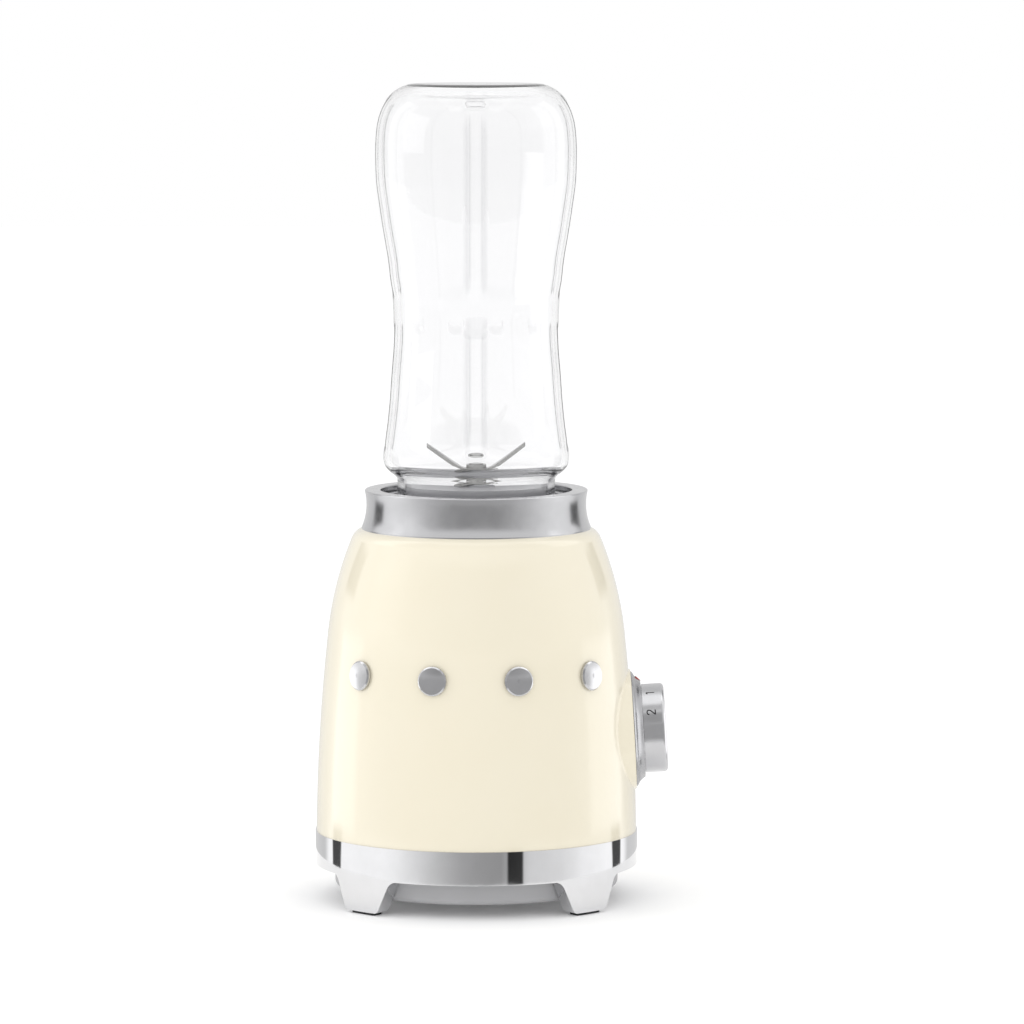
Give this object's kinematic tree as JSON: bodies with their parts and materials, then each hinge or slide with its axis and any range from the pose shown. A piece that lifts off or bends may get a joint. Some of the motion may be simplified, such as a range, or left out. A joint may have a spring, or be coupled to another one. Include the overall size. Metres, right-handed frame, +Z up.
{
  "type": "countertop blender",
  "caption": "Personal countertop blender: a round painted motor base on four legs, a side knob, and an upturned clear bottle screwed to a lift-off blade unit.",
  "frame": {"origin": "point where the motor's vertical axis meets the tabletop that the rubber feet stand on", "axes": "+Z up along the motor's axis; the front with the four studs faces -Y; the knob is on the +X side"},
  "size_m": [0.1515, 0.1384, 0.3494],
  "materials": {
    "cream_enamel": "glossy cream paint",
    "bright_chrome": "polished plating",
    "satin_chrome": "satin plating",
    "grey_moulding": "satin moulded",
    "black_moulding": "moulded",
    "black_rubber": "matt",
    "clear_copolyester": "clear moulded",
    "silicone": "matt",
    "stainless": "ground",
    "zinc_steel": "zinc plated",
    "lamination": "stacked sheet",
    "copper": "enamelled copper",
    "bronze": "sintered bronze",
    "carbon": "pressed carbon",
    "board_laminate": "solder mask",
    "red_insert": "moulded"
  },
  "bodies": {
    "base": {"rubber_feet": "black_rubber", "base_skirt": "bright_chrome", "bottom_cover": "grey_moulding", "cord_gland": "black_rubber", "body_shell": "cream_enamel", "collar_ring": "satin_chrome", "seat_cup": "grey_moulding", "shaft_seal": "black_rubber", "upper_bracket": "zinc_steel", "lower_bracket": "zinc_steel", "motor_mounts": "black_rubber", "stator_core": "lamination", "field_coils": "copper", "tie_bolts": "zinc_steel", "brush_holders": "bronze", "carbon_brushes": "carbon", "control_board": "board_laminate", "board_screws": "zinc_steel", "board_parts": "black_moulding", "interlock_switch": "black_moulding", "plunger_spring": "stainless", "rotary_switch": "black_moulding", "switch_nut": "zinc_steel", "knob_bezel": "satin_chrome", "knob_index": "red_insert", "emblem_studs": "bright_chrome", "emblem_clips": "zinc_steel", "upper_bearing": "stainless", "lower_bearing": "stainless", "cover_screws": "zinc_steel", "shell_screws": "zinc_steel", "collar_screws": "zinc_steel", "motor_screws": "zinc_steel"},
    "rotor": {"motor_shaft": "stainless", "armature_core": "lamination", "armature_windings": "copper", "commutator": "copper", "cooling_fan": "black_moulding", "drive_coupling": "stainless"},
    "knob": {"knob_spindle": "zinc_steel", "knob_cap": "satin_chrome"},
    "plunger": {"interlock_plunger": "grey_moulding"},
    "holder": {"blade_holder": "grey_moulding", "holder_bush": "bronze", "holder_seal": "black_rubber"},
    "blades": {"driven_coupling": "black_moulding", "blade_spindle": "stainless", "blade_washer": "stainless", "lower_blade": "stainless", "upper_blade": "stainless", "blade_nut": "stainless"},
    "gasket": {"bottle_gasket": "silicone"},
    "bottle": {"bottle": "clear_copolyester"}
  },
  "joints": [
    {"name": "motor_spin", "type": "hinge", "parent": "base", "child": "rotor", "pos_m": [0, 0, 0.075], "axis": [0, 0, 1], "continuous": true},
    {"name": "knob_turn", "type": "hinge", "parent": "base", "child": "knob", "pos_m": [0.0675, 0, 0.0726], "axis": [0.9983, 0, 0.0576], "range_deg": [-60, 30]},
    {"name": "interlock_press", "type": "slide", "parent": "base", "child": "plunger", "axis": [0, 0, 1], "range_m": [-0.0015, 0], "stiffness_N_per_m": 200, "springref_m": 0.0005, "deforming": ["plunger_spring"]},
    {"name": "unit_lift", "type": "slide", "parent": "base", "child": "holder", "axis": [0, 0, 1], "range_m": [0, 0.06]},
    {"name": "blade_spin", "type": "hinge", "parent": "holder", "child": "blades", "pos_m": [0, 0, 0.17], "axis": [0, 0, 1], "continuous": true},
    {"name": "bottle_unscrew", "type": "hinge", "parent": "holder", "child": "gasket", "pos_m": [0, 0, 0.167], "axis": [0, 0, 1], "range_deg": [0, 540]},
    {"name": "bottle_rise", "type": "slide", "parent": "gasket", "child": "bottle", "axis": [0, 0, 1], "range_m": [0, 0.0091]}
  ],
  "couplings": [
    {"joint": "blade_spin", "follows": "motor_spin", "ratio": 1},
    {"joint": "bottle_rise", "follows": "bottle_unscrew", "m_per_rad": 0.000955}
  ]
}
